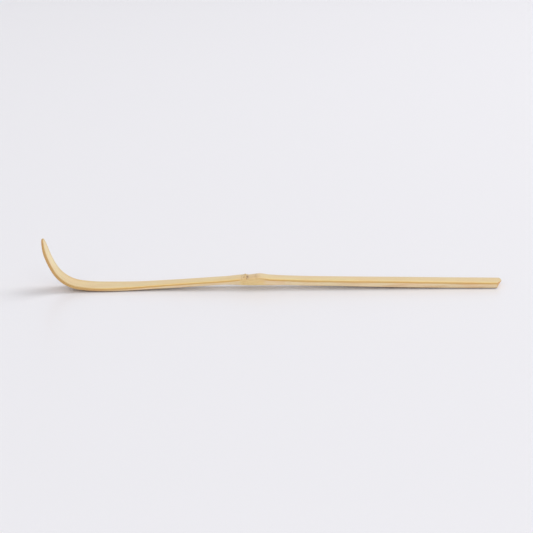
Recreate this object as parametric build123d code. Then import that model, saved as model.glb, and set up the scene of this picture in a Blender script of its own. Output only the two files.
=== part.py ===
from build123d import *
import math
import os

# Tea scoop carved from one strip of bamboo, lying on its back. All lengths are in millimetres.
# +X runs from the curled bowl to the handle's end, +Y across, +Z up, and Z = 0 is the table.
# The strip keeps the culm's outer skin on top. Every place along it is given by its distance back
# from the tip, measured on the skin line, which is the upper edge of the strip seen from the side.

# Overall
LENGTH = 179.7
FLAT_DEPTH = 0.06
OVERRUN = 3.0

# Skin line, from the tip back: radius and turn of each bend, and the straight neck
BLADE_RADIUS = 34.0
BLADE_TURN = 21.1
BEND_RADIUS = 13.2
BEND_TURN = 50.4
TOE_RADIUS = 53.0
TOE_TURN = 8.9
SOLE_RADIUS = 275.0
SOLE_TURN = 3.9
NECK_RUN = 42.3
CREST_RADIUS = 20.0
CREST_TURN = 7.2
FLARE_RADIUS = 470.0
FLARE_TURN = 2.7

# Widths across, over the bevels
TIP_WIDTH = 9.8
BOWL_WIDTH = 10.8
TOE_WIDTH = 10.4
SHOULDER_WIDTH = 7.8
NECK_WIDTH = 6.8
NODE_WIDTH = 7.15
WAIST_WIDTH = 6.55
HANDLE_WIDTH = 7.05
END_WIDTH = 7.65
TIP_ROUNDING = 6.0

# Thicknesses, from the skin line to the back
TIP_THICKNESS = 0.75
BOWL_THICKNESS = 1.18
SOLE_THICKNESS = 1.46
SHOULDER_THICKNESS = 1.5
NECK_THICKNESS = 1.68
NODE_THICKNESS = 2.78
WAIST_THICKNESS = 2.3
HANDLE_THICKNESS = 2.56
END_THICKNESS = 2.27

# Surface across the strip: a crowned skin on the handle, slightly hollow in the bowl
HANDLE_CROWN = 0.4
BOWL_CROWN = -0.22
SKIN_BEVEL = 0.18
BACK_BEVEL = 0.14
BACK_DRAFT = 0.06
BEVEL_LIMIT_SHARE = 0.33

# Layers: the hard rind under the skin, over the paler flesh
RIND_THICKNESS = 0.5

# Node: the band between the sheath scar and the ridge above it
SCAR_SETBACK = 5.4
SCAR_LENGTH = 1.8
SCAR_RISE = 0.34
NODE_FOOT = 5.8
NODE_LIFT = 0.22
GROOVE_LIFT = 0.06
RIDGE_LIFT = 0.3
RIDGE_FOOT = 3.6

# Handle end: a slanted knife cut over the near side and a square one over the rest, both undercut
END_SLANT = 40.0
END_RETURN = 1.0
END_UNDERCUT = 13.0
END_CORNER_SHARE = -0.2

# Places between the named ones, as shares of the stretch that they lie on
GROOVE_SHARE = 0.37
NECK_WAIST_SHARE = 0.45
NECK_THICK_SHARE = 0.33
SWELL_SHARE = 0.66
REST_SHARE = 0.5
HEEL_SHARE = 0.6

BLADE = BLADE_RADIUS * math.radians(BLADE_TURN)
BEND = BEND_RADIUS * math.radians(BEND_TURN)
TOE = TOE_RADIUS * math.radians(TOE_TURN)
SOLE = SOLE_RADIUS * math.radians(SOLE_TURN)
CREST = CREST_RADIUS * math.radians(CREST_TURN)
FLARE = FLARE_RADIUS * math.radians(FLARE_TURN)

BLADE_FOOT_AT = BLADE
BEND_FOOT_AT = BLADE_FOOT_AT + BEND
TOE_FOOT_AT = BEND_FOOT_AT + TOE
SHOULDER_AT = TOE_FOOT_AT + SOLE
CREST_AT = SHOULDER_AT + NECK_RUN + CREST / 2
SCAR_AT = CREST_AT - SCAR_SETBACK
GROOVE_AT = SCAR_AT + SCAR_SETBACK * GROOVE_SHARE
NODE_AT = SCAR_AT - SCAR_LENGTH
NODE_FOOT_AT = NODE_AT - NODE_FOOT
RIDGE_FOOT_AT = CREST_AT + RIDGE_FOOT
FLARE_AT = CREST_AT + CREST / 2
FLARE_FOOT_AT = FLARE_AT + FLARE

CROWNS = [
    (BEND_FOOT_AT, BOWL_CROWN),
    (SHOULDER_AT + NECK_RUN / 2, HANDLE_CROWN),
]
LIFTS = [
    (NODE_FOOT_AT, 0.0),
    (NODE_AT, NODE_LIFT),
    (SCAR_AT, NODE_LIFT),
    (GROOVE_AT, GROOVE_LIFT),
    (CREST_AT, RIDGE_LIFT),
    (RIDGE_FOOT_AT, 0.0),
]
RUNS = [
    (BLADE, math.radians(BLADE_TURN)),
    (BEND, math.radians(BEND_TURN)),
    (TOE, math.radians(TOE_TURN)),
    (SOLE, math.radians(SOLE_TURN)),
    (NECK_RUN, 0.0),
    (CREST, -math.radians(CREST_TURN)),
    (FLARE, math.radians(FLARE_TURN)),
]


def skin_place(distance, tilt):
    """Gives the skin line's X and Z, from the tip, and how steeply it falls, at a distance back."""
    x, z, fall = 0.0, 0.0, tilt
    for length, turn in RUNS:
        step = min(distance, length)
        turned = turn * step / length
        if turn:
            radius = length / turn
            x += radius * (math.sin(fall) - math.sin(fall - turned))
            z += radius * (math.cos(fall) - math.cos(fall - turned))
        else:
            x += step * math.cos(fall)
            z -= step * math.sin(fall)
        fall -= turned
        distance -= step
        if distance <= 0:
            return x, z, fall
    return x + distance * math.cos(fall), z - distance * math.sin(fall), fall


def smooth_value(distance, table):
    """Reads a table of places and values with a smooth curve that never overshoots them."""
    if distance <= table[0][0]:
        return table[0][1]
    if distance >= table[-1][0]:
        return table[-1][1]
    slopes = [(b[1] - a[1]) / (b[0] - a[0]) for a, b in zip(table, table[1:])]
    tangents = [slopes[0]]
    for before, after in zip(slopes, slopes[1:]):
        same_way = before * after > 0
        tangents.append(2 * before * after / (before + after) if same_way else 0.0)
    tangents.append(slopes[-1])
    for i, (a, b) in enumerate(zip(table, table[1:])):
        if distance <= b[0]:
            gap = b[0] - a[0]
            t = (distance - a[0]) / gap
            rise = b[1] - a[1]
            start, finish = tangents[i] * gap, tangents[i + 1] * gap
            return a[1] + t * start + t**2 * (3 * rise - 2 * start - finish) + t**3 * (
                start + finish - 2 * rise
            )


def lay_down():
    """Finds the fall at the tip and the handle's end that rest the strip on its sole and handle."""
    turned = sum(turn for _, turn in RUNS)
    tilt = turned
    end = CREST_AT + LENGTH / 2
    for _ in range(30):
        backs = []
        for first, last in ((0.0, CREST_AT), (CREST_AT, end)):
            places = [first + (last - first) * i / 200 for i in range(201)]
            backs.append(min((back_place(s, tilt, end) for s in places), key=lambda p: p[1]))
        (sole_x, sole_z), (heel_x, heel_z) = backs
        tilt += math.atan2(heel_z - sole_z, heel_x - sole_x)
        reach = skin_place(end, tilt)[0] - tip_reach(tilt, end)
        end += LENGTH - reach
    return tilt, end, sole_z


def back_sag(distance):
    """Gives how far the back's middle follows a hollow skin down: zero, or a negative rise."""
    return min(smooth_value(distance, CROWNS), 0.0)


def thickness_table(end):
    """Lists the thickness along the strip."""
    rest = FLARE_FOOT_AT + (end - FLARE_FOOT_AT) * HEEL_SHARE
    return [
        (0.0, TIP_THICKNESS),
        (TIP_ROUNDING, BOWL_THICKNESS),
        (BEND_FOOT_AT, BOWL_THICKNESS),
        (TOE_FOOT_AT + SOLE / 2, SOLE_THICKNESS),
        (SHOULDER_AT, SHOULDER_THICKNESS),
        (SHOULDER_AT + NECK_RUN * NECK_THICK_SHARE, NECK_THICKNESS),
        (SHOULDER_AT + NECK_RUN * SWELL_SHARE, NECK_THICKNESS),
        (CREST_AT, NODE_THICKNESS),
        (FLARE_AT + FLARE / 2, WAIST_THICKNESS),
        (rest, HANDLE_THICKNESS),
        (end, END_THICKNESS),
    ]


def back_place(distance, tilt, end):
    """Gives X and Z of the back's middle, which bulges where the skin is hollow."""
    x, z, fall = skin_place(distance, tilt)
    depth = smooth_value(distance, thickness_table(end)) - back_sag(distance)
    return x - depth * math.sin(fall), z - depth * math.cos(fall)


def tip_reach(tilt, end):
    """Gives X of the strip's foremost point, on the back of the curled blade."""
    return min(back_place(BLADE_FOOT_AT * i / 40, tilt, end)[0] for i in range(41))


TILT, END_AT, SOLE_Z = lay_down()
START_X = -LENGTH / 2 - tip_reach(TILT, END_AT)
START_Z = -FLAT_DEPTH - SOLE_Z
REST_AT = FLARE_FOOT_AT + (END_AT - FLARE_FOOT_AT) * REST_SHARE
THICKNESSES = thickness_table(END_AT)
WIDTHS = [
    (0.0, TIP_WIDTH),
    (BLADE_FOOT_AT + BEND / 2, BOWL_WIDTH),
    (TOE_FOOT_AT, TOE_WIDTH),
    (SHOULDER_AT, SHOULDER_WIDTH),
    (SHOULDER_AT + NECK_RUN * NECK_WAIST_SHARE, NECK_WIDTH),
    (NODE_FOOT_AT, NECK_WIDTH),
    (SCAR_AT, NODE_WIDTH),
    (CREST_AT, NODE_WIDTH),
    (FLARE_AT + FLARE / 2, WAIST_WIDTH),
    (REST_AT, HANDLE_WIDTH),
    (END_AT, END_WIDTH),
]


def station_plane(distance, lift=0.0):
    """Gives the plane square to the strip at a distance back: local x across, local y out of the skin."""
    x, z, fall = skin_place(distance, TILT)
    origin = (
        START_X + x + lift * math.sin(fall),
        0.0,
        START_Z + z + lift * math.cos(fall),
    )
    return Plane(origin=origin, x_dir=(0, 1, 0), z_dir=(math.cos(fall), 0, -math.sin(fall)))


def skin_arc(half, crown, reach, drop=0.0):
    """Draws the skin's curve across the strip out to a reach each side, lowered by a drop."""
    edge = crown * (1 - (reach / half) ** 2) - drop
    middle = 2 * (crown - drop) - edge
    return Bezier((-reach, edge), (0, middle), (reach, edge))


def strip_section(distance):
    """Draws the carved strip's section: skin, bevels, drafted sides and back."""
    lift = smooth_value(distance, LIFTS)
    half = smooth_value(distance, WIDTHS) / 2
    crown = smooth_value(distance, CROWNS)
    back = -smooth_value(distance, THICKNESSES) - lift
    top = skin_arc(half, crown, half - SKIN_BEVEL)
    left, right = top @ 0, top @ 1
    low_half = half - BACK_DRAFT
    bevel = min(BACK_BEVEL, -back * BEVEL_LIMIT_SHARE)
    right_side = Polyline(
        (right.X, right.Y),
        (half, right.Y - SKIN_BEVEL),
        (low_half, back + bevel),
        (low_half - bevel, back),
    )
    middle = back + 2 * back_sag(distance)
    bottom = Bezier((low_half - bevel, back), (0, middle), (bevel - low_half, back))
    left_side = Polyline(
        (bevel - low_half, back),
        (-low_half, back + bevel),
        (-half, left.Y - SKIN_BEVEL),
        (left.X, left.Y),
    )
    edges = [top, *right_side.edges(), bottom, *left_side.edges()]
    return station_plane(distance, lift) * make_face(edges)


def rind_section(distance):
    """Draws a section that holds all of the strip above the rind's under side."""
    lift = smooth_value(distance, LIFTS)
    half = smooth_value(distance, WIDTHS) / 2
    crown = smooth_value(distance, CROWNS)
    reach = half + OVERRUN
    floor = skin_arc(half, crown, reach, RIND_THICKNESS)
    right, left = floor @ 1, floor @ 0
    outline = Polyline((right.X, right.Y), (reach, OVERRUN), (-reach, OVERRUN), (left.X, left.Y))
    return station_plane(distance, lift) * make_face([floor, *outline.edges()])


def spread(first, last, count):
    """Divides a stretch into equal steps and leaves out its last place."""
    return [first + (last - first) * i / count for i in range(count)]


STATIONS = (
    [-OVERRUN]
    + spread(0.0, TIP_ROUNDING, 2)
    + spread(TIP_ROUNDING, BLADE_FOOT_AT, 2)
    + spread(BLADE_FOOT_AT, BEND_FOOT_AT, 4)
    + spread(BEND_FOOT_AT, TOE_FOOT_AT, 2)
    + spread(TOE_FOOT_AT, SHOULDER_AT, 3)
    + spread(SHOULDER_AT, NODE_FOOT_AT, 4)
    + spread(NODE_FOOT_AT, NODE_AT, 3)
    + spread(NODE_AT, SCAR_AT, 2)
    + spread(SCAR_AT, CREST_AT, 5)
    + spread(CREST_AT, RIDGE_FOOT_AT, 4)
    + spread(RIDGE_FOOT_AT, FLARE_FOOT_AT, 3)
    + spread(FLARE_FOOT_AT, END_AT, 5)
    + [END_AT, END_AT + OVERRUN]
)


def tip_cutter():
    """Makes the waste outside the rounded tip, as seen square to the blade."""
    half = smooth_value(TIP_ROUNDING, WIDTHS) / 2
    x, z, fall = skin_place(0.0, TILT)
    plane = Plane(
        origin=(START_X + x, 0, START_Z + z),
        x_dir=(0, 1, 0),
        z_dir=(math.sin(fall), 0, math.cos(fall)),
    )
    beyond = OVERRUN * 2
    waste = Rectangle(half * 2 + beyond, TIP_ROUNDING + beyond, align=(Align.CENTER, Align.MAX))
    waste = Pos(0, beyond) * waste - Pos(0, -TIP_ROUNDING) * Ellipse(half, TIP_ROUNDING)
    return plane * extrude(waste, OVERRUN, both=True)


def trim_end(solid):
    """Cuts the handle's end with two knife strokes, both undercut."""
    plane = station_plane(END_AT)
    corner = plane.origin + Vector(0, END_WIDTH * END_CORNER_SHARE, HANDLE_CROWN)
    for side, slant in ((-1, END_SLANT), (1, END_RETURN)):
        turn, drop = math.radians(slant), math.radians(END_UNDERCUT)
        normal = (
            math.cos(turn) * math.cos(drop),
            side * math.sin(turn) * math.cos(drop),
            -math.sin(drop),
        )
        solid = split(solid, bisect_by=Plane(origin=corner, z_dir=normal), keep=Keep.BOTTOM)
    return solid


def make_strip():
    """Makes the whole carved strip, before its layers are told apart."""
    strip = loft([strip_section(s) for s in STATIONS])
    strip = strip - tip_cutter()
    strip = trim_end(strip)
    return split(strip, bisect_by=Plane.XY, keep=Keep.TOP)


def cut_at(solid, distance):
    """Cuts a solid across the strip and gives the bowl's side and the handle's side."""
    plane = station_plane(distance)
    return (
        split(solid, bisect_by=plane, keep=Keep.BOTTOM),
        split(solid, bisect_by=plane, keep=Keep.TOP),
    )


def make_scar(strip):
    """Makes the rim that the culm's sheath left across the skin."""
    shares = (-0.5, -0.3, 0.0, 0.25, 0.5)
    rise_shares = (0.08, 0.7, 1.0, 0.6, 0.08)
    sections = []
    for share, rise_share in zip(shares, rise_shares):
        distance = SCAR_AT + SCAR_LENGTH * share
        lift = smooth_value(distance, LIFTS)
        half = smooth_value(distance, WIDTHS) / 2
        crown = smooth_value(distance, CROWNS)
        top = skin_arc(half, crown, half - SKIN_BEVEL, -SCAR_RISE * rise_share)
        left, right = top @ 0, top @ 1
        base = -RIND_THICKNESS / 2
        outline = Polyline((right.X, right.Y), (right.X, base), (left.X, base), (left.X, left.Y))
        sections.append(station_plane(distance, lift) * make_face([top, *outline.edges()]))
    return loft(sections) - strip


strip = make_strip()
rind_space = loft([rind_section(s) for s in STATIONS])
rind = strip & rind_space
flesh = strip - rind_space
bowl_skin, rest_of_rind = cut_at(rind, SCAR_AT)
node_band, handle_skin = cut_at(rest_of_rind, FLARE_AT)
bowl_flesh, rest_of_flesh = cut_at(flesh, SCAR_AT)
septum_root, handle_flesh = cut_at(rest_of_flesh, FLARE_AT)
sheath_scar = make_scar(strip)

PARTS = {
    "bowl_skin": bowl_skin,
    "bowl_flesh": bowl_flesh,
    "sheath_scar": sheath_scar,
    "node_band": node_band,
    "septum_root": septum_root,
    "handle_skin": handle_skin,
    "handle_flesh": handle_flesh,
}

os.makedirs("parts", exist_ok=True)
for name, solid in PARTS.items():
    export_step(solid, f"parts/{name}.step")
    print(name, round(solid.volume, 3))
print("tilt", math.degrees(TILT), "end", END_AT, "strip", strip.bounding_box())
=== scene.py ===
import bpy
import bmesh
import math
import numpy as np
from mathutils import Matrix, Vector


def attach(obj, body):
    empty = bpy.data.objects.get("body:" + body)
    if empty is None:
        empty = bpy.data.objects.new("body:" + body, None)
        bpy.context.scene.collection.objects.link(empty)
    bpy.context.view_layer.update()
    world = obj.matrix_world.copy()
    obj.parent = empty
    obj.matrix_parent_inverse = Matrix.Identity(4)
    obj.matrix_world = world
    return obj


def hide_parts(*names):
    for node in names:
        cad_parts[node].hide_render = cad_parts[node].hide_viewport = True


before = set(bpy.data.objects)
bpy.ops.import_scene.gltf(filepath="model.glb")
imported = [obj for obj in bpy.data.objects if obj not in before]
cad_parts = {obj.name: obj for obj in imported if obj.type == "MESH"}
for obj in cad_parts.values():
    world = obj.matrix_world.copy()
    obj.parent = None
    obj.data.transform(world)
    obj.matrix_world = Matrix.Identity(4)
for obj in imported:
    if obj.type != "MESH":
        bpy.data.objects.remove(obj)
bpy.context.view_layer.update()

# Bamboo tea scoop, carved from one strip of a culm. Sizes are in millimetres, and MM turns them
# into the frame's metres. A place along the strip is its distance back from the tip, "at", on the
# skin line, which is the upper edge of the strip seen from the side. "y" is the distance across,
# "rise" is the height square to the skin line, and "depth" is how far a point lies under the skin.
MM = 0.001

# Half the length over all, what is taken off the sole's lowest point so that it rests flat, and
# how many places are probed along the strip to find its foremost and its lowest point
HALF_LENGTH = 89.85
FLAT_DEPTH = 0.06
PROBES = 4001

# Skin line, from the tip back: radius and turn of each bend, and the straight neck
BLADE_RADIUS, BLADE_TURN = 34.0, math.radians(21.1)
BEND_RADIUS, BEND_TURN = 13.2, math.radians(50.4)
TOE_RADIUS, TOE_TURN = 53.0, math.radians(8.9)
SOLE_RADIUS, SOLE_TURN = 275.0, math.radians(3.9)
NECK_RUN = 42.3
CREST_RADIUS, CREST_TURN = 20.0, math.radians(7.2)
FLARE_RADIUS, FLARE_TURN = 470.0, math.radians(2.7)
TILT = math.radians(80.8373)
END_AT = 189.5758
TIP_ROUNDING = 6.0

BLADE_FOOT_AT = BLADE_RADIUS * BLADE_TURN
BEND_FOOT_AT = BLADE_FOOT_AT + BEND_RADIUS * BEND_TURN
TOE_FOOT_AT = BEND_FOOT_AT + TOE_RADIUS * TOE_TURN
SHOULDER_AT = TOE_FOOT_AT + SOLE_RADIUS * SOLE_TURN
CREST = CREST_RADIUS * CREST_TURN
CREST_AT = SHOULDER_AT + NECK_RUN + CREST / 2
FLARE_AT = CREST_AT + CREST / 2
FLARE_FOOT_AT = FLARE_AT + FLARE_RADIUS * FLARE_TURN
RUNS = [
    (BLADE_FOOT_AT, BLADE_TURN),
    (BEND_FOOT_AT - BLADE_FOOT_AT, BEND_TURN),
    (TOE_FOOT_AT - BEND_FOOT_AT, TOE_TURN),
    (SHOULDER_AT - TOE_FOOT_AT, SOLE_TURN),
    (NECK_RUN, 0.0),
    (CREST, -CREST_TURN),
    (FLARE_FOOT_AT - FLARE_AT, FLARE_TURN),
    (END_AT, 0.0),
]

# Node: the ring before the sheath scar, the scar, the groove behind it and the smooth ridge
SCAR_AT = CREST_AT - 5.4
RING_AT = SCAR_AT - 1.65
RIM_AT = SCAR_AT - 0.2
GROOVE_AT = SCAR_AT + 1.3
NODE_AT = SCAR_AT - 1.8
NODE_FOOT_AT = NODE_AT - 5.8
RIDGE_FOOT_AT = CREST_AT + 3.6
SCAR_REACH = 1.3
RIM_RISE = 0.44
RING_WIDTH = 0.16
RING_CUT = 0.05
# Flecks at the scar: how far behind it, how far across, length, width and strength
FLECKS = [
    (0.6, -1.3, 0.45, 1.5, 1.0),
    (0.25, -2.9, 0.26, 0.65, 0.85),
    (-0.8, -2.1, 0.34, 0.7, 0.4),
    (-0.35, 2.7, 0.45, 0.8, 0.5),
    (0.75, 2.2, 0.26, 0.4, 0.6),
    (0.65, -1.2, 0.22, 0.4, 0.5),
]

# Widths, thicknesses, crown across and lift at the node, as places and values
REST_AT = (FLARE_FOOT_AT + END_AT) / 2
HEEL_AT = FLARE_FOOT_AT + (END_AT - FLARE_FOOT_AT) * 0.6
WIDTHS = [
    (0.0, 9.8),
    ((BLADE_FOOT_AT + BEND_FOOT_AT) / 2, 10.8),
    (TOE_FOOT_AT, 10.4),
    (SHOULDER_AT, 7.8),
    (SHOULDER_AT + NECK_RUN * 0.45, 6.8),
    (NODE_FOOT_AT, 6.8),
    (SCAR_AT, 7.15),
    (CREST_AT, 7.15),
    ((FLARE_AT + FLARE_FOOT_AT) / 2, 6.55),
    (REST_AT, 7.05),
    (END_AT, 7.65),
]
THICKNESSES = [
    (0.0, 0.75),
    (TIP_ROUNDING, 1.18),
    (BEND_FOOT_AT, 1.18),
    ((TOE_FOOT_AT + SHOULDER_AT) / 2, 1.46),
    (SHOULDER_AT, 1.5),
    (SHOULDER_AT + NECK_RUN * 0.33, 1.68),
    (SHOULDER_AT + NECK_RUN * 0.66, 1.68),
    (CREST_AT, 2.78),
    ((FLARE_AT + FLARE_FOOT_AT) / 2, 2.3),
    (HEEL_AT, 2.56),
    (END_AT, 2.27),
]
CROWNS = [(BEND_FOOT_AT, -0.22), (SHOULDER_AT + NECK_RUN / 2, 0.4)]
LIFTS = [
    (NODE_FOOT_AT, 0.0),
    (NODE_AT, 0.22),
    (SCAR_AT, 0.22),
    (GROOVE_AT, 0.06),
    (CREST_AT, 0.3),
    (RIDGE_FOOT_AT, 0.0),
]

# Section: bevels and draft of the sides, and the rind that the skin pieces hold
RIND = 0.5
SKIN_BEVEL = 0.18
BACK_BEVEL = 0.14
BACK_DRAFT = 0.06
SCAR_BASE = 0.25
SCAR_INSET = 0.02
RIM_SINK = 0.1
SKIN_ALLOWANCE = 0.022
BACK_ALLOWANCE = 0.03

# Handle end: a slanted cut over the near side, nearly upright, and a square one over the rest,
# which is cut well under. The rim is worn.
END_SLANT, SLANT_UNDERCUT = math.radians(40.0), math.radians(9.0)
END_RETURN, RETURN_UNDERCUT = math.radians(1.0), math.radians(40.0)
END_CORNER_Y = -1.53
END_BLEND = 9.0
END_WEAR = 0.07

# Fine relief at the node: how the ring wanders, cross wrinkles, pits at the flecks and a torn rim
RING_SWAY, RING_SWAY_RATE, RING_SWAY_START = 0.12, 1.1, 0.6
WRINKLES_AT, WRINKLES_REACH = SCAR_AT + 2.6, 3.2
WRINKLE_RISE, WRINKLE_RATE = 0.02, 5.2
WRINKLE_WAVER, WRINKLE_WAVER_RATE = 0.8, 1.7
FLECK_PIT = 0.07
RIM_SLOPE, RIM_DROP = 0.72, 0.42
RIM_ENDS_POWER = 8
TEAR_STRETCH, TEAR_SHIFT, TEAR_SHARE = 0.3, 0.1, 0.14

# Knife marks: the worn shoulders of the back, the hollow of the sides, the back's bevel, where
# the strip starts to sway across, and how much strokes and waves differ among themselves
BACK_SHOULDER, BACK_SHOULDER_SHARES = 0.05, (0.45, 1.0)
SIDE_SCOOP = 0.03
CHAMFER_FLAT_SHARE = 0.7
BEVEL_LIMIT_SHARE = 0.34
SWAY_SPAN = (30.0, 60.0)
STROKE_SHARES = (0.6, 1.4)
WAVE_SHARES = (0.5, 1.5)

# Mesh: columns across, rows down the sides, the steps of the rings along, and the narrowest end
# that gets a face. Points nearer to each other than the weld, in metres, become one.
COLUMNS = 60
EDGE_ROWS = 5
FLAT_ROWS = 6
BEVEL_ROW_SHARES = (0.3, 0.6, 0.85, 1.0)
SCAR_ROWS = 5
TIP_RINGS = 26
PLAIN_STEP = 0.5
NODE_STEP = 0.13
FINE_FROM, FINE_TO = RING_AT - 1.0, GROOVE_AT + 0.8
LEAST_END = 0.05
WELD = 1e-7
SHARP_ANGLE = math.radians(40.0)

# Map: the margin round it, where the strip's outside ends, and the room of each cut end
MAP_EDGE = 0.006
STRIP_MAP_END = 0.92
CAP_MAP = 0.034


def smooth_value(at, table):
    """Reads a table of places and values with a smooth curve that never overshoots them."""
    places, values = (np.array(column) for column in zip(*table))
    gaps = np.diff(places)
    slopes = np.diff(values) / gaps
    before, after = slopes[:-1], slopes[1:]
    total = np.where(before + after == 0, 1.0, before + after)
    middle = np.where(before * after > 0, 2 * before * after / total, 0.0)
    tangents = np.concatenate((slopes[:1], middle, slopes[-1:]))
    at = np.clip(at, places[0], places[-1])
    i = np.clip(np.searchsorted(places, at, side="right") - 1, 0, len(gaps) - 1)
    t = (at - places[i]) / gaps[i]
    rise = values[i + 1] - values[i]
    start, finish = tangents[i] * gaps[i], tangents[i + 1] * gaps[i]
    curve = t**2 * (3 * rise - 2 * start - finish) + t**3 * (start + finish - 2 * rise)
    return values[i] + t * start + curve


def smooth_step(low, high, value):
    """Climbs from 0 at low to 1 at high."""
    t = np.clip((value - low) / (high - low), 0.0, 1.0)
    return t * t * (3 - 2 * t)


def bump(centre, width, value):
    """A soft hump of height 1 about a centre."""
    return np.exp(-(((value - centre) / width) ** 2))


# The strip's plain form

def skin_line(at):
    """Gives X and Z from the tip, and how steeply the skin line falls."""
    x, z = np.zeros_like(at), np.zeros_like(at)
    fall = np.full_like(at, TILT)
    left = at.copy()
    for length, turn in RUNS:
        step = np.clip(left, 0.0, length)
        turned = turn * step / length
        if turn:
            radius = length / turn
            x += radius * (np.sin(fall) - np.sin(fall - turned))
            z += radius * (np.cos(fall) - np.cos(fall - turned))
        else:
            x += step * np.cos(fall)
            z -= step * np.sin(fall)
        fall = fall - turned
        left = left - step
    return x, z, fall


def skin_height(at, y):
    """The smooth skin's rise at a place, with its crown across and its lift at the node."""
    half = smooth_value(at, WIDTHS) / 2
    return smooth_value(at, LIFTS) + smooth_value(at, CROWNS) * (1 - (y / half) ** 2)


def back_height(at, y):
    """The back's rise at a place, which bulges under the hollow of the bowl."""
    half = smooth_value(at, WIDTHS) / 2
    sag = np.minimum(smooth_value(at, CROWNS), 0.0)
    return sag * (1 - (y / half) ** 2) - smooth_value(at, THICKNESSES)


def side_height(at):
    """The strip's height at its sides."""
    return smooth_value(at, THICKNESSES) + smooth_value(at, LIFTS)


def find_start():
    """Gives X and Z of the tip that put the strip's foremost point and its sole in the frame."""
    at = np.linspace(0.0, CREST_AT, PROBES)
    x, z, fall = skin_line(at)
    depth = -back_height(at, np.zeros_like(at))
    back_x, back_z = x - depth * np.sin(fall), z - depth * np.cos(fall)
    return -HALF_LENGTH - back_x.min(), -FLAT_DEPTH - back_z.min()


START_X, START_Z = find_start()


# What the knife and the growth left on it, drawn with one seed

def knife_flats(spacing, reach):
    """Gives a line of long straight knife strokes: knots at uneven places, with small offsets."""
    count = int(END_AT / spacing) + 4
    knots = np.cumsum(random.uniform(*STROKE_SHARES, count)) * spacing - spacing
    offsets = random.uniform(-reach, reach, len(knots))
    return knots, offsets


def stroke(flats, at):
    """Reads a line of knife strokes."""
    return np.interp(at, *flats)


def ripples(count, length, width, height):
    """Gives a set of waves that run mostly along the grain: their counts along and across."""
    along = random.uniform(-1.0, 1.0, count) * 2 * math.pi / length
    across = random.uniform(*WAVE_SHARES, count) * 2 * math.pi / width
    return along, across, random.uniform(0.0, 2 * math.pi, count), height / math.sqrt(count)


def ripple_height(waves, at, y):
    """Adds a set of waves up at a place."""
    along, across, phases, height = waves
    total = sum(np.sin(a * at + b * y + p) for a, b, p in zip(along, across, phases))
    return total * height


random = np.random.default_rng(11)
SIDE_FLATS = knife_flats(9.0, 0.03)
BEVEL_FLATS = knife_flats(7.0, 0.13)
SWAY_FLATS = knife_flats(26.0, 0.035)
BACK_FLATS = knife_flats(11.0, 0.045)
SKIN_RIPPLES = ripples(7, 60.0, 1.3, 0.006)
SKIN_WAVES = ripples(5, 26.0, 9.0, 0.02)
BACK_RIPPLES = ripples(7, 50.0, 0.9, 0.012)
TEAR_RIPPLES = ripples(7, 5.0, 1.0, 1.0)


# The strip's form as it is seen

def ring_sway(y):
    """How far the ring before the scar wanders along the strip as it crosses it."""
    return RING_SWAY * np.sin(RING_SWAY_RATE * y + RING_SWAY_START)


def groove_stain(at, y):
    """Dark flecks behind the scar and on its rim, where the sheath was rooted."""
    stain = np.zeros(np.broadcast(at, y).shape)
    for back, across, length, width, strength in FLECKS:
        far = ((at - SCAR_AT - back) / length) ** 2 + ((y - across) / width) ** 2
        stain = np.maximum(stain, strength * np.exp(-far))
    return stain


def end_wear(at):
    """How far the worn rim of the handle's end stands in."""
    return END_WEAR * smooth_step(END_AT - END_WEAR, END_AT, at)


def dressed_skin(at, y):
    """The skin as it is seen: faint ribs and waves, the ring cut by the sheath, and wrinkles."""
    height = skin_height(at, y)
    height += ripple_height(SKIN_RIPPLES, at, y) + ripple_height(SKIN_WAVES, at, y)
    height -= RING_CUT * bump(RING_AT + ring_sway(y), RING_WIDTH, at)
    waver = WRINKLE_WAVER * np.sin(WRINKLE_WAVER_RATE * y)
    near_node = bump(WRINKLES_AT, WRINKLES_REACH, at)
    height += WRINKLE_RISE * near_node * np.sin(WRINKLE_RATE * at + waver)
    height -= FLECK_PIT * groove_stain(at, y)
    return height - SKIN_ALLOWANCE - end_wear(at)


def torn_rim(at, y):
    """The scar's rim: a slope from the bowl's side, a ragged crest and a steep far side."""
    tear = ripple_height(TEAR_RIPPLES, at * TEAR_STRETCH, y)
    crest_at = RIM_AT + TEAR_SHIFT * tear
    slope = np.where(at < crest_at, RIM_SLOPE, RIM_DROP)
    ends = 1 - (2 * y / smooth_value(at, WIDTHS)) ** RIM_ENDS_POWER
    height = RIM_RISE * (1 - TEAR_SHARE + TEAR_SHARE * tear) * bump(crest_at, slope, at)
    return skin_height(at, y) + height * ends - RIM_SINK


def dressed_back(at, y):
    """The back as it is seen: long knife flats, with the torn grain between them."""
    outward = np.abs(y) / (smooth_value(at, WIDTHS) / 2) + stroke(BACK_FLATS, at)
    shoulder = BACK_SHOULDER * smooth_step(*BACK_SHOULDER_SHARES, outward)
    height = back_height(at, y) + shoulder + BACK_ALLOWANCE + end_wear(at)
    return height + ripple_height(BACK_RIPPLES, at, y)


def under_rind(at, y):
    """The border between the rind and the flesh."""
    return skin_height(at, y) - RIND


def under_scar(at, y):
    """The rim's hidden foot, inside the rind."""
    return skin_height(at, y) - SCAR_BASE


def back_bevel(at):
    """The back's bevel, which the knife left wider in some places."""
    return np.minimum(BACK_BEVEL * (1 + stroke(BEVEL_FLATS, at)), side_height(at) * BEVEL_LIMIT_SHARE)


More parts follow.
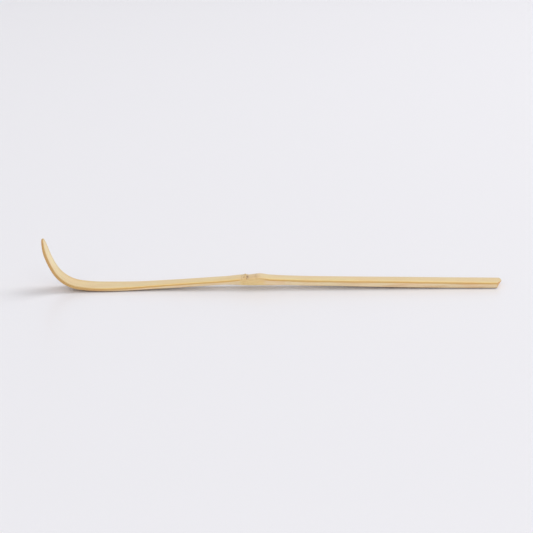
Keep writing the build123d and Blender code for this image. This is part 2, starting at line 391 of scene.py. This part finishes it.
def side_inset(depth, at):
    """How far a side stands in at a depth: a worn skin edge, a draft, and the back's bevel."""
    total, bevel = side_height(at), back_bevel(at)
    over = np.clip(SKIN_BEVEL - depth, 0.0, SKIN_BEVEL)
    edge = SKIN_BEVEL - np.sqrt(SKIN_BEVEL**2 - over**2)
    share = np.clip((depth - SKIN_BEVEL) / (total - SKIN_BEVEL - bevel), 0.0, 1.0)
    low = np.clip((depth - total + bevel) / bevel, 0.0, 1.0)
    rounded = 1 - np.sqrt(1 - low**2)
    chamfer = bevel * (CHAMFER_FLAT_SHARE * low + (1 - CHAMFER_FLAT_SHARE) * rounded)
    scoop = (SIDE_SCOOP + stroke(SIDE_FLATS, at)) * np.sin(math.pi * share)
    return edge + BACK_DRAFT * share + chamfer + scoop


def outline_place(t, inset):
    """Gives how far back and how far out the outline lies on a ring, moved in by an inset."""
    turn = np.clip(t / TIP_ROUNDING, 0.0, 1.0) * math.pi / 2
    tip_half = smooth_value(np.array(TIP_ROUNDING), WIDTHS) / 2
    tip_at = TIP_ROUNDING - (TIP_ROUNDING - inset) * np.cos(turn)
    on_tip = t < TIP_ROUNDING
    half = smooth_value(t, WIDTHS) / 2 - inset
    return np.where(on_tip, tip_at, t), np.where(on_tip, (tip_half - inset) * np.sin(turn), half)


def cut_place(y, rise):
    """Gives the distance back at which a line along the handle meets the end's two cuts."""
    x, z, fall = (float(value) for value in skin_line(np.array(END_AT)))
    corner = (x, END_CORNER_Y, z + CROWNS[-1][1])
    line_x, line_z = x + rise * math.sin(fall), z + rise * math.cos(fall)
    reaches = []
    cuts = ((-1, END_SLANT, SLANT_UNDERCUT), (1, END_RETURN, RETURN_UNDERCUT))
    for side, slant, under in cuts:
        normal = (
            math.cos(slant) * math.cos(under),
            side * math.sin(slant) * math.cos(under),
            -math.sin(under),
        )
        gap = (
            (corner[0] - line_x) * normal[0]
            + (corner[1] - y) * normal[1]
            + (corner[2] - line_z) * normal[2]
        )
        reaches.append(gap / (math.cos(fall) * normal[0] - math.sin(fall) * normal[2]))
    return END_AT + np.minimum(*reaches)


def place(at, y, rise):
    """Turns places on the strip into metres in the frame. Nothing goes under the table."""
    x, z, fall = skin_line(at)
    x = START_X + x + rise * np.sin(fall)
    z = START_Z + z + rise * np.cos(fall)
    y = y + stroke(SWAY_FLATS, at) * smooth_step(*SWAY_SPAN, at)
    return np.stack((x, y, np.maximum(z, 0.0)), axis=-1) * MM


# Where the bamboo is browned, stained and worn, and where shade and highlight are painted on:
# contact shade along the resting edges, and a highlight along the near skin edge. A span runs
# from where its mark is nothing to where it is full. It lies along the strip, or across it or in
# from its outline where its name says so, and depths lie under the skin.
NODE_BROWN_START, NODE_BROWN_END = (SCAR_AT - 3.4, SCAR_AT + 1.0), (CREST_AT + 0.6, CREST_AT - 1.6)
PLAIN_BEFORE_NODE, PLAIN_AFTER_NODE = (SCAR_AT - 1.6, SCAR_AT - 3.4), (CREST_AT + 1.0, CREST_AT + 3.2)
NODE_SIDE_DEPTHS = (0.1, 0.3)
TOAST_SPAN, TOAST_DEPTHS = (52.0, 24.0), (0.1, 0.5)
BLADE_TOAST_SPAN, BLADE_TOAST_RISES = (36.0, 16.0), (0.12, 0.34)

# Fine dark lines across the node: the ring, the rim's crest, and the brow of the ridge
RING_STAIN, RING_STAIN_SPREAD = 0.26, 1.3
RIM_STAIN, RIM_STAIN_ACROSS = 0.34, (-4.5, 3.5)
RIM_STAIN_AT, RIM_STAIN_WIDTH = RIM_AT + 0.1, 0.45
BROW_STAIN, BROW_AT, BROW_WIDTH = 0.16, CREST_AT - 1.5, 0.4
BROW_SWAY, BROW_SWAY_RATE = 0.15, 1.4
STAIN_DEPTHS = (0.6, 0.1)

# Painted contact shade on the lower edges: where the strip rests, how high it reaches there, and how
# far inside the outline
CONTACT_SHADE = 0.85
SOLE_START, SOLE_END = (TOE_FOOT_AT - 6.0, TOE_FOOT_AT), (SHOULDER_AT + 3.0, SHOULDER_AT - 5.0)
REST_START = (FLARE_FOOT_AT - 6.0, FLARE_FOOT_AT + 12.0)
CONTACT_SHADE_REACH, SOLE_CONTACT_SHADE_REACH, CONTACT_SHADE_CORE = 0.17, 0.12, 0.07
CONTACT_SHADE_INSET = (0.4, 0.15)

# Worn skin edge, with a painted highlight that makes the near edge brighter than the far one:
# how far in it reaches, and how its strength differs over the strip
EDGE_REACH, BOWL_EDGE_REACH, BOWL_EDGE_SPAN = 0.75, 1.45, (38.0, 20.0)
EDGE_CORE, EDGE_DEPTHS = 0.15, (0.16, 0.05)
HANDLE_EDGE_SHARE, FRONT_EDGE_SPAN = 0.6, (76.0, 48.0)
NODE_EDGE_SHARE = 0.3
FAR_HIGHLIGHT_LOSS, FAR_HIGHLIGHT_ACROSS = 0.6, (-1.0, 3.0)


def node_lines(at, y):
    """Three fine dark lines that cross the node."""
    ring = bump(RING_AT + ring_sway(y), RING_WIDTH * RING_STAIN_SPREAD, at)
    crest = bump(RIM_STAIN_AT, RIM_STAIN_WIDTH, at) * smooth_step(*RIM_STAIN_ACROSS, y)
    brow = bump(BROW_AT + BROW_SWAY * np.sin(BROW_SWAY_RATE * y), BROW_WIDTH, at)
    return np.maximum(np.maximum(RING_STAIN * ring, RIM_STAIN * crest), BROW_STAIN * brow)


def painted_contact_shade(at, y, depth, half):
    """Painted contact shade along the lower edges that the scoop rests on, at the sole and the handle,
    in the stain's brown.
    """
    sole = smooth_step(*SOLE_START, at) * smooth_step(*SOLE_END, at)
    rests = np.maximum(sole, smooth_step(*REST_START, at))
    above = side_height(at) - depth
    low = smooth_step(CONTACT_SHADE_REACH + SOLE_CONTACT_SHADE_REACH * sole, CONTACT_SHADE_CORE, above)
    return CONTACT_SHADE * rests * low * smooth_step(*CONTACT_SHADE_INSET, half - np.abs(y))


def tone(at, y, depth, half):
    """Three masks for the materials: browning at the node, toasting of the bend, and stains, which also
    carry painted contact shade along the resting edges.
    """
    node = smooth_step(*NODE_BROWN_START, at) * smooth_step(*NODE_BROWN_END, at)
    blade = smooth_step(*BLADE_TOAST_SPAN, at)
    first, full = (deep - rise * blade for deep, rise in zip(TOAST_DEPTHS, BLADE_TOAST_RISES))
    toast = smooth_step(*TOAST_SPAN, at) * smooth_step(first, full, depth)
    stain = np.maximum(groove_stain(at, y), node_lines(at, y)) * smooth_step(*STAIN_DEPTHS, depth)
    # Painted contact shade at the resting edges joins the stains
    stain = np.maximum(stain, painted_contact_shade(at, y, depth, half))
    return np.stack(np.broadcast_arrays(node, toast, stain), axis=-1)


def border(t, at, y, depth, half):
    """Three more masks: the worn skin edge, partly a painted highlight along the near edge, the grain
    of the cut end, and the node's plain side.
    """
    plain = np.maximum(smooth_step(*PLAIN_BEFORE_NODE, at), smooth_step(*PLAIN_AFTER_NODE, at))
    reach = EDGE_REACH + BOWL_EDGE_REACH * smooth_step(*BOWL_EDGE_SPAN, at)
    edge = smooth_step(reach, EDGE_CORE, half - np.abs(y)) * smooth_step(*EDGE_DEPTHS, depth)
    front = HANDLE_EDGE_SHARE + (1 - HANDLE_EDGE_SHARE) * smooth_step(*FRONT_EDGE_SPAN, at)
    edge = edge * front * (NODE_EDGE_SHARE + (1 - NODE_EDGE_SHARE) * plain)
    # Painted highlight: the edge mark fades on the far side, so the near edge reads brighter
    edge = edge * (1 - FAR_HIGHLIGHT_LOSS * smooth_step(*FAR_HIGHLIGHT_ACROSS, y))
    cut = smooth_step(END_AT - END_WEAR, END_AT, t)
    side = (1 - plain) * smooth_step(*NODE_SIDE_DEPTHS, depth)
    return np.stack(np.broadcast_arrays(edge, cut, side), axis=-1)


# Meshes

def steps(first, last, step):
    """Divides a stretch into equal steps near a length, both ends included."""
    return np.linspace(first, last, max(2, int(round((last - first) / step)) + 1))


def chain(*stretches):
    """Joins stretches of rings, dropping the doubled places."""
    return np.unique(np.concatenate(stretches).round(6))


BOWL_RINGS = chain(
    steps(0.0, TIP_ROUNDING, TIP_ROUNDING / TIP_RINGS),
    steps(TIP_ROUNDING, NODE_FOOT_AT, PLAIN_STEP),
    steps(NODE_FOOT_AT, FINE_FROM, PLAIN_STEP / 2),
    steps(FINE_FROM, SCAR_AT, NODE_STEP / 2),
)
SCAR_RINGS = steps(SCAR_AT - SCAR_REACH, SCAR_AT + SCAR_REACH, NODE_STEP / 3)
NODE_RINGS = chain(
    steps(SCAR_AT, FINE_TO, NODE_STEP / 2),
    steps(FINE_TO, FLARE_AT, NODE_STEP),
)
HANDLE_RINGS = chain(
    steps(FLARE_AT, RIDGE_FOOT_AT, PLAIN_STEP / 2),
    steps(RIDGE_FOOT_AT, END_AT - END_BLEND, PLAIN_STEP),
    steps(END_AT - END_BLEND, END_AT - 2 * END_WEAR, PLAIN_STEP / 2),
    steps(END_AT - 2 * END_WEAR, END_AT, END_WEAR / 2),
)


def skin_depths(t):
    """Depths of the rows down the rind's side: its worn edge and its flat."""
    edge = SKIN_BEVEL * (1 - np.cos(np.linspace(0.0, math.pi / 2, EDGE_ROWS)))
    rows = np.concatenate((edge, (SKIN_BEVEL + RIND) / 2, RIND), axis=None)
    return np.broadcast_to(rows[None, :, None], (len(t), len(rows), 1))


def flesh_depths(t):
    """Depths of the rows down the flesh's side: its flat and the back's bevel."""
    total, bevel = side_height(t), back_bevel(t)
    flat = RIND + np.linspace(0.0, 1.0, FLAT_ROWS)[None, :, None] * (total - bevel - RIND)
    low = total - bevel + bevel * np.array(BEVEL_ROW_SHARES)[None, :, None]
    return np.concatenate((flat, low), axis=1)


def scar_depths(t):
    """Depths of the rows down the rim's ends, the last of them inside the rind."""
    rows = np.linspace(0.0, SCAR_BASE, SCAR_ROWS)
    return np.broadcast_to(rows[None, :, None], (len(t), len(rows), 1))


def layer_points(rings, depths, upper, lower, inset_more):
    """Places a layer's points: rings along, rows down from its upper face, columns across."""
    t = rings[:, None, None]
    depth = depths(t)
    shares = (depth - depth[:, :1]) / (depth[:, -1:] - depth[:, :1])
    inset = side_inset(depth, t) + inset_more + end_wear(t)
    at, half = outline_place(t, inset)
    y = np.linspace(-1.0, 1.0, COLUMNS + 1)[None, None, :] * half
    at, depth = np.broadcast_to(at, y.shape), np.broadcast_to(depth, y.shape)
    rise = upper(at, y) * (1 - shares) + lower(at, y) * shares
    pull = smooth_step(END_AT - END_BLEND, END_AT, t)
    at = at + (cut_place(y, rise) - END_AT) * pull
    grain = np.stack((at, y, depth), axis=-1)
    return place(at, y, rise), grain, tone(at, y, depth, half), border(t, at, y, depth, half)


def grid_corners(grid):
    """Gives each face of a grid its four corners, in order."""
    return np.stack((grid[:-1, :-1], grid[:-1, 1:], grid[1:, 1:], grid[1:, :-1]), axis=2)


def corner_uvs(u, v):
    """Gives the map's places at the corners of a grid's faces."""
    return grid_corners(np.stack(np.meshgrid(u, v, indexing="ij"), axis=-1)).reshape(-1, 2)


def corner_indices(index):
    """Gives the numbers of the points at the corners of a grid's faces."""
    return grid_corners(index).reshape(-1, 4)


def rim_order(rows, columns):
    """Gives the row and the column of each point round a section, in order."""
    right, left = list(range(1, rows - 1)), list(range(rows - 2, 0, -1))
    row_at = [0] * columns + right + [rows - 1] * columns + left
    column_at = list(range(columns)) + [columns - 1] * len(right)
    column_at += list(range(columns))[::-1] + [0] * len(left)
    return row_at, column_at


def map_round(outline):
    """Spreads the points round a section over the map, by their distances."""
    lengths = np.linalg.norm(np.roll(outline, -1, 0) - outline, axis=-1)
    shares = np.concatenate(((0.0,), np.cumsum(lengths))) / lengths.sum()
    return MAP_EDGE + (1 - 2 * MAP_EDGE) * shares


def shell(values):
    """Closes a layer: its outside, ring by ring, and its two ends, with a map of both. The tip
    narrows to a line, which needs no end face."""
    points = values[0]
    rings, rows, columns = points.shape[:3]
    row_at, column_at = rim_order(rows, columns)
    index = np.arange(rings * len(row_at)).reshape(rings, -1)
    kept = [[a[:, row_at, column_at].reshape(-1, 3)] for a in values]
    faces = [corner_indices(np.concatenate((index, index[:, :1]), axis=1))]
    v = map_round(points[rings // 2][row_at, column_at])
    uvs = [corner_uvs(np.linspace(MAP_EDGE, STRIP_MAP_END, rings), v)]
    used = index.size
    inner = (rows - 2, columns - 2)
    first_cap_u = STRIP_MAP_END + MAP_EDGE
    for end, cap_u in ((0, first_cap_u), (rings - 1, first_cap_u + CAP_MAP)):
        if np.ptp(points[end], axis=(0, 1))[1] < MM * LEAST_END:
            continue
        cap = np.zeros((rows, columns), int)
        cap[row_at, column_at] = index[end]
        cap[1:-1, 1:-1] = used + np.arange(inner[0] * inner[1]).reshape(inner)
        used += inner[0] * inner[1]
        for stored, a in zip(kept, values):
            stored.append(a[end, 1:-1, 1:-1].reshape(-1, 3))
        faces.append(corner_indices(cap))
        u = cap_u + (CAP_MAP - MAP_EDGE) * np.linspace(0.0, 1.0, rows)
        uvs.append(corner_uvs(u, np.linspace(MAP_EDGE, 1 - MAP_EDGE, columns)))
    return [np.concatenate(stored) for stored in kept], np.concatenate(faces), np.concatenate(uvs)


def make_mesh(name, values):
    """Makes a layer's smooth mesh, with its map and with what its material reads."""
    (points, grain, tones, borders), faces, uvs = shell(values)
    mesh = bpy.data.meshes.new(name)
    mesh.from_pydata(points.tolist(), [], faces.tolist())
    mesh.uv_layers.new(name="OFBake").uv.foreach_set("vector", uvs.ravel())
    for key, stored in (("grain", grain), ("tone", tones), ("border", borders)):
        mesh.attributes.new(key, "FLOAT_VECTOR", "POINT").data.foreach_set("vector", stored.ravel())
    shape = bmesh.new()
    shape.from_mesh(mesh)
    bmesh.ops.remove_doubles(shape, verts=shape.verts, dist=WELD)
    bmesh.ops.recalc_face_normals(shape, faces=shape.faces)
    shape.to_mesh(mesh)
    shape.free()
    mesh.polygons.foreach_set("use_smooth", [True] * len(mesh.polygons))
    mesh.set_sharp_from_angle(angle=SHARP_ANGLE)
    return mesh


def make_piece(node, slot, rings, depths, upper, lower, inset_more=0.0):
    """Makes the piece that stands for a node of the frame."""
    mesh = make_mesh(f"{node}_carved", layer_points(rings, depths, upper, lower, inset_more))
    mesh.materials.append(MATERIALS[slot])
    piece = bpy.data.objects.new(f"{node}_carved", mesh)
    bpy.context.scene.collection.objects.link(piece)
    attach(piece, "root")
    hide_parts(node)


# Materials

def linear(red, green, blue):
    """Turns a colour as a picture shows it, 0 to 255, into the light it stands for."""
    shares = [channel / 255 for channel in (red, green, blue)]
    return [c / 12.92 if c <= 0.04045 else ((c + 0.055) / 1.055) ** 2.4 for c in shares] + [1.0]


SKIN = linear(224, 203, 162)
# Bright yellow of the worn skin edge, partly a painted highlight
EDGE_WEAR_AND_HIGHLIGHT = linear(232, 207, 145)
TOASTED_EDGE = linear(208, 178, 124)
ORANGE = linear(208, 170, 108)
PALE = linear(221, 203, 176)
DEEP = linear(221, 201, 173)
# Paler skin for painted light on the curl's upper inner face
BLADE_LIGHT = linear(243, 227, 190)
END_RIND = linear(229, 182, 129)
END_FLESH = linear(230, 203, 158)
BUNDLE = linear(200, 160, 108)
TOASTED = linear(190, 153, 102)
NODE_BROWN = linear(212, 184, 139)
NODE_SIDE = linear(219, 195, 149)
# Brown of real stains, also used for painted contact shade
STAIN_AND_SHADE_BROWN = linear(112, 80, 56)
WARM_TINT = linear(255, 246, 232)
PALE_TINT = linear(255, 255, 243)

# Colours of the bamboo by depth under the skin, and how deep they go
LAYERS = ((0.0, SKIN), (0.08, SKIN), (0.2, ORANGE), (0.6, ORANGE), (0.9, PALE), (2.6, DEEP))
LAYERS_DEPTH = 3.0

# Grain patterns: how fast each changes along the strip, across it and down into it, per
# millimetre, then its detail, its roughness and its seed. Bundles are cells with a scatter.
FIBRES = ((0.09, 8.5, 8.5), 3.0, 0.62, 1.0)
STREAKS = ((0.022, 1.25, 1.6), 2.0, 0.55, 2.0)
WANDER = ((0.35, 0.5, 0.5), 1.0, 0.5, 3.0)
PATCHES = ((0.11, 0.22, 0.5), 2.0, 0.5, 5.0)
SPECKLES = ((1.6, 2.6, 2.6), 3.0, 0.6, 8.0)
BUNDLES = ((0.05, 3.4, 3.8), 0.9)

# How far the grain wanders off its straight lines, in millimetres
GRAIN_SHIFT, NODE_GRAIN_SHIFT = 0.25, 1.6

# The values that a noise mostly keeps to, and those between which speckles break up a stain
NOISE_SPAN = (0.3, 0.7)
SPECKLE_SPAN = (0.32, 0.62)

# Where each look is nothing and where it is full, in millimetres along the strip or under the
# skin. A bundle's core is measured from its middle, in cells.
BUNDLE_CORE, BUNDLE_DEPTHS = (0.42, 0.2), (0.12, 0.4)
# The blade's pale skin is painted light on the curl's upper inner face
BLADE_LIGHT_SPAN, BLADE_LIGHT_DEPTHS = (19.0, 8.0), (0.16, 0.04)
TOASTED_EDGE_SPAN = (36.0, 24.0)
END_GRAIN_DEPTHS = (0.4, 1.8)
SHEEN_DEPTHS = (0.0, 0.2)

# Strengths: the toast's cover, the shades of fibres and streaks with how much more they take
# from green and blue, the speckling of stains, and roughness
TOAST_COVER = 0.92
FIBRE_SHADES, STREAK_SHADES = (0.93, 1.03), (-0.06, 0.03)
GREEN_POWER, BLUE_POWER = 1.25, 1.8
STAIN_MOTTLE = (0.55, 1.0)
CUT_ROUGHNESS = 0.58
FIBRE_ROUGHER = (0.06, -0.04)
EDGE_ROUGHER, STAIN_ROUGHER = 0.1, 0.2

# Relief under the light: its depth, and what each pattern adds to it
RELIEF = 0.014
RELIEF_STRENGTH = 0.8
FIBRE_RELIEF, BUNDLE_RELIEF = 0.7, -0.5
SPECKLE_RELIEF, NODE_SPECKLE_RELIEF = 0.05, 0.5


class Graph:
    """A material's nodes, each added with its inputs in one call."""

    def __init__(self, name):
        self.material = bpy.data.materials.new(name)
        self.material.use_nodes = True
        self.tree = self.material.node_tree
        self.shader = self.tree.nodes["Principled BSDF"]

    def add(self, kind, inputs=(), **settings):
        """Adds a node, with its settings and its inputs."""
        node = self.tree.nodes.new(kind)
        for key, value in settings.items():
            setattr(node, key, value)
        for key, value in dict(inputs).items():
            self.feed(node.inputs[key], value)
        return node

    def feed(self, socket, value):
        """Links an input to another node's output, or sets it to a plain value."""
        if isinstance(value, bpy.types.NodeSocket):
            self.tree.links.new(value, socket)
        else:
            socket.default_value = value

    def math(self, operation, a, b=0.0, clamp=False):
        """Works out one value from two."""
        node = self.add("ShaderNodeMath", {0: a, 1: b}, operation=operation, use_clamp=clamp)
        return node.outputs[0]

    def span(self, value, low, high, to_low=0.0, to_high=1.0):
        """Maps a span of a value to another, smoothly and without going past it."""
        inputs = {"Value": value, 1: low, 2: high, 3: to_low, 4: to_high}
        return self.add("ShaderNodeMapRange", inputs, interpolation_type="SMOOTHSTEP").outputs[0]

    def mix(self, share, a, b, blend="MIX"):
        """Blends a share of one colour into another."""
        inputs = {0: share, 6: a, 7: b}
        return self.add("ShaderNodeMix", inputs, data_type="RGBA", blend_type=blend).outputs[2]

    def ramp(self, value, stops, length):
        """Colours by a value, from 0 to a length, through stops."""
        node = self.add("ShaderNodeValToRGB", {0: self.math("DIVIDE", value, length)})
        elements = node.color_ramp.elements
        while len(elements) < len(stops):
            elements.new(0.5)
        for element, (stop, colour) in zip(elements, stops):
            element.position = stop / length
            element.color = colour
        return node.outputs[0]

    def attribute(self, name):
        """Reads a value stored in the mesh: the whole of it, and its three parts."""
        vector = self.add("ShaderNodeAttribute", attribute_name=name).outputs["Vector"]
        return vector, self.add("ShaderNodeSeparateXYZ", {0: vector}).outputs

    def vector(self, operation, a, b):
        """Works out one vector from two."""
        return self.add("ShaderNodeVectorMath", {0: a, 1: b}, operation=operation).outputs[0]

    def noise(self, grain, rates, detail, roughness, seed):
        """A cloudy pattern, drawn out along the grain."""
        inputs = {"Vector": self.vector("MULTIPLY", grain, rates), "W": seed, "Scale": 1.0}
        inputs.update({"Detail": detail, "Roughness": roughness})
        return self.add("ShaderNodeTexNoise", inputs, noise_dimensions="4D").outputs[0]

    def cells(self, grain, rates, scatter):
        """Distance to the nearest of scattered points, drawn out along the grain."""
        inputs = {"Vector": self.vector("MULTIPLY", grain, rates), "Scale": 1.0, "Randomness": scatter}
        return self.add("ShaderNodeTexVoronoi", inputs).outputs["Distance"]


def waved_grain(g, grain, node):
    """Shifts the grain a little off its straight lines, and more of it at the node."""
    wander = g.noise(grain, *WANDER)
    most = g.span(node, 0.0, 1.0, GRAIN_SHIFT, NODE_GRAIN_SHIFT)
    shift = g.math("MULTIPLY", g.math("SUBTRACT", wander, 0.5), most)
    offset = g.add("ShaderNodeCombineXYZ", {1: shift, 2: shift}).outputs[0]
    return g.vector("ADD", grain, offset)


def streaked(g, colour, fibres, streaks, patches):
    """Tints a colour in patches, and darkens it along the fibres, most of all in blue."""
    tint = g.mix(g.span(patches, *NOISE_SPAN), WARM_TINT, PALE_TINT)
    colour = g.mix(1.0, colour, tint, "MULTIPLY")
    fine = g.span(fibres, *NOISE_SPAN, *FIBRE_SHADES)
    shade = g.math("ADD", fine, g.span(streaks, *NOISE_SPAN, *STREAK_SHADES))
    channels = {0: shade, 1: g.math("POWER", shade, GREEN_POWER), 2: g.math("POWER", shade, BLUE_POWER)}
    return g.mix(1.0, colour, g.add("ShaderNodeCombineColor", channels).outputs[0], "MULTIPLY")


def bamboo(name, browning=0.75, bundles=0.5, gloss=0.36, wrinkles=0.0):
    """Bamboo, read by its own grain: skin on top, a line of dense fibres, then paler flesh."""
    g = Graph(name)
    grain, (along, _, depth) = g.attribute("grain")
    _, (node, toast, stain) = g.attribute("tone")
    _, (edge, end, side) = g.attribute("border")

    lines = waved_grain(g, grain, node)
    fibres = g.noise(lines, *FIBRES)
    streaks = g.noise(lines, *STREAKS)
    patches = g.noise(grain, *PATCHES)
    speckles = g.noise(grain, *SPECKLES)
    core = g.span(g.cells(lines, *BUNDLES), *BUNDLE_CORE)
    threads = g.math("MULTIPLY", core, g.span(depth, *BUNDLE_DEPTHS))

    colour = g.ramp(depth, LAYERS, LAYERS_DEPTH)
    colour = g.mix(g.math("MULTIPLY", toast, TOAST_COVER), colour, TOASTED)
    # Painted light: the upper inner face of the curl is painted paler, as if the key lamp lit it more
    blade = g.math("MULTIPLY", g.span(along, *BLADE_LIGHT_SPAN), g.span(depth, *BLADE_LIGHT_DEPTHS))
    colour = g.mix(blade, colour, BLADE_LIGHT)
    colour = g.mix(g.math("MULTIPLY", node, browning), colour, NODE_BROWN)
    colour = g.mix(side, colour, NODE_SIDE)
    # The worn edge's colour is partly a painted highlight, brighter on the near edge
    edge_wear_and_highlight = g.mix(g.span(along, *TOASTED_EDGE_SPAN), EDGE_WEAR_AND_HIGHLIGHT, TOASTED_EDGE)
    colour = g.mix(edge, colour, edge_wear_and_highlight)
    end_grain = g.mix(g.span(depth, *END_GRAIN_DEPTHS), END_RIND, END_FLESH)
    colour = g.mix(end, colour, end_grain)
    colour = g.mix(g.math("MULTIPLY", threads, bundles), colour, BUNDLE)
    colour = streaked(g, colour, fibres, streaks, patches)
    # Stain brown over the stain mask, which holds real flecks and node lines and painted contact shade
    mottle = g.span(speckles, *SPECKLE_SPAN, *STAIN_MOTTLE)
    colour = g.mix(g.math("MULTIPLY", stain, mottle, clamp=True), colour, STAIN_AND_SHADE_BROWN)
    g.feed(g.shader.inputs["Base Color"], colour)

    sheen = g.span(depth, *SHEEN_DEPTHS, gloss, CUT_ROUGHNESS)
    worn = g.math("ADD", sheen, g.math("MULTIPLY", edge, EDGE_ROUGHER))
    rough = g.math("ADD", worn, g.span(fibres, *NOISE_SPAN, *FIBRE_ROUGHER))
    stained = g.math("ADD", rough, g.math("MULTIPLY", stain, STAIN_ROUGHER))
    g.feed(g.shader.inputs["Roughness"], stained)

    most = g.span(node, 0.0, 1.0, SPECKLE_RELIEF, NODE_SPECKLE_RELIEF + wrinkles)
    threaded = g.math("MULTIPLY", threads, BUNDLE_RELIEF)
    relief = g.math("ADD", g.math("MULTIPLY", fibres, FIBRE_RELIEF), threaded)
    relief = g.math("ADD", relief, g.math("MULTIPLY", speckles, most))
    inputs = {"Height": relief, "Strength": RELIEF_STRENGTH, "Distance": RELIEF * MM}
    g.feed(g.shader.inputs["Normal"], g.add("ShaderNodeBump", inputs).outputs[0])
    return g.material


MATERIALS = {
    "culm_skin": bamboo("bamboo_skin", gloss=0.46),
    "culm_flesh": bamboo("bamboo_flesh", bundles=0.55),
    "node_skin": bamboo("bamboo_node_skin", browning=0.7, gloss=0.4, wrinkles=0.4),
    "septum": bamboo("bamboo_septum", bundles=0.4, wrinkles=0.2),
    "scar_rim": bamboo("bamboo_scar_rim", browning=0.8, gloss=0.55, wrinkles=0.8),
}

make_piece("bowl_skin", "culm_skin", BOWL_RINGS, skin_depths, dressed_skin, under_rind)
make_piece("bowl_flesh", "culm_flesh", BOWL_RINGS, flesh_depths, under_rind, dressed_back)
make_piece("sheath_scar", "scar_rim", SCAR_RINGS, scar_depths, torn_rim, under_scar, SCAR_INSET)
make_piece("node_band", "node_skin", NODE_RINGS, skin_depths, dressed_skin, under_rind)
make_piece("septum_root", "septum", NODE_RINGS, flesh_depths, under_rind, dressed_back)
make_piece("handle_skin", "culm_skin", HANDLE_RINGS, skin_depths, dressed_skin, under_rind)
make_piece("handle_flesh", "culm_flesh", HANDLE_RINGS, flesh_depths, under_rind, dressed_back)


# Stage: a pale table, soft light and the photograph's camera. The table and the lamps are placed
# in metres, apart from the table's drop.
TABLE_COLOUR = (0.845, 0.838, 0.875, 1.0)
TABLE_REACH = 6.0
TABLE_DROP = 0.15
TABLE_ROUGHNESS = 0.3
TABLE_GLOSS = 0.5
WORLD_LIGHT = 0.52

# Lamps: the direction they shine from, their distance, size and level
KEY_LAMP = ((0.63, 0.47, 1.0), 2.1, 1.5, 0.46)
FILL_LAMP = ((-0.1, -1.0, 0.35), 2.4, 2.4, 0.65)

# Camera: the picture's width and the lens in pixels, and what it looks at from how far, in
# millimetres
PICTURE_PX = 533
FOCAL_PX = 1790.3
TARGET = Vector((-2.39, 0.0, 8.386))
CAMERA_DISTANCE = 700.0
CAMERA_AZIMUTH, CAMERA_ELEVATION = math.radians(-1.425), math.radians(15.05)


def make_table():
    """A pale table with a dull gloss, seen through from below. A carved strip touches it at a few
    points, so most of its foot stands a hair clear."""
    mesh = bpy.data.meshes.new("table")
    reach, low = TABLE_REACH, -TABLE_DROP * MM
    corners = [(-reach, -reach, low), (reach, -reach, low), (reach, reach, low), (-reach, reach, low)]
    mesh.from_pydata(corners, [], [(0, 1, 2, 3)])
    g = Graph("table_top")
    g.shader.inputs["Base Color"].default_value = TABLE_COLOUR
    g.shader.inputs["Roughness"].default_value = TABLE_ROUGHNESS
    g.shader.inputs["Specular IOR Level"].default_value = TABLE_GLOSS
    below = g.add("ShaderNodeNewGeometry").outputs["Backfacing"]
    clear = g.add("ShaderNodeBsdfTransparent").outputs[0]
    mixed = g.add("ShaderNodeMixShader", {0: below, 1: g.shader.outputs[0], 2: clear})
    g.feed(g.tree.nodes["Material Output"].inputs["Surface"], mixed.outputs[0])
    mesh.materials.append(g.material)
    table = bpy.data.objects.new("table", mesh)
    bpy.context.scene.collection.objects.link(table)


def make_world():
    """Even light from all round, and a pale backdrop where the camera or a reflection sees it."""
    world = bpy.data.worlds.new("studio")
    world.use_nodes = True
    tree = world.node_tree
    tree.nodes.clear()
    light = tree.nodes.new("ShaderNodeBackground")
    light.inputs["Color"].default_value = (1.0, 1.0, 1.0, 1.0)
    light.inputs["Strength"].default_value = WORLD_LIGHT
    seen = tree.nodes.new("ShaderNodeBackground")
    seen.inputs["Color"].default_value = TABLE_COLOUR
    path = tree.nodes.new("ShaderNodeLightPath")
    either = tree.nodes.new("ShaderNodeMath")
    either.operation = "MAXIMUM"
    tree.links.new(path.outputs["Is Camera Ray"], either.inputs[0])
    tree.links.new(path.outputs["Is Glossy Ray"], either.inputs[1])
    mix = tree.nodes.new("ShaderNodeMixShader")
    tree.links.new(either.outputs[0], mix.inputs[0])
    tree.links.new(light.outputs[0], mix.inputs[1])
    tree.links.new(seen.outputs[0], mix.inputs[2])
    output = tree.nodes.new("ShaderNodeOutputWorld")
    tree.links.new(mix.outputs[0], output.inputs["Surface"])
    bpy.context.scene.world = world


def make_lamp(name, direction, distance, size, level, mirrored=True):
    """A square soft lamp aimed at the object. Level is the share of a plain white it lights to.
    A lamp that isn't mirrored leaves no glare on the table."""
    direction = Vector(direction).normalized()
    lamp = bpy.data.objects.new(name, bpy.data.lights.new(name, "AREA"))
    lamp.data.size = size
    lamp.data.energy = level * (math.pi * distance) ** 2
    lamp.location = direction * distance
    lamp.rotation_mode = "QUATERNION"
    lamp.rotation_quaternion = direction.to_track_quat("Z", "Y")
    lamp.visible_glossy = mirrored
    bpy.context.scene.collection.objects.link(lamp)


def make_camera():
    """The photograph's camera, aimed at the target that its middle shows."""
    a, e = CAMERA_AZIMUTH, CAMERA_ELEVATION
    back = Vector((math.sin(a) * math.cos(e), -math.cos(a) * math.cos(e), math.sin(e)))
    camera = bpy.data.objects.new("camera", bpy.data.cameras.new("camera"))
    camera.data.lens = FOCAL_PX * camera.data.sensor_width / PICTURE_PX
    camera.location = (TARGET + back * CAMERA_DISTANCE) * MM
    camera.rotation_mode = "QUATERNION"
    camera.rotation_quaternion = (-back).to_track_quat("-Z", "Y")
    bpy.context.scene.collection.objects.link(camera)
    bpy.context.scene.camera = camera


make_table()
make_world()
make_lamp("key", *KEY_LAMP)
make_lamp("fill", *FILL_LAMP, mirrored=False)
make_camera()
bpy.context.scene.view_settings.view_transform = "Standard"
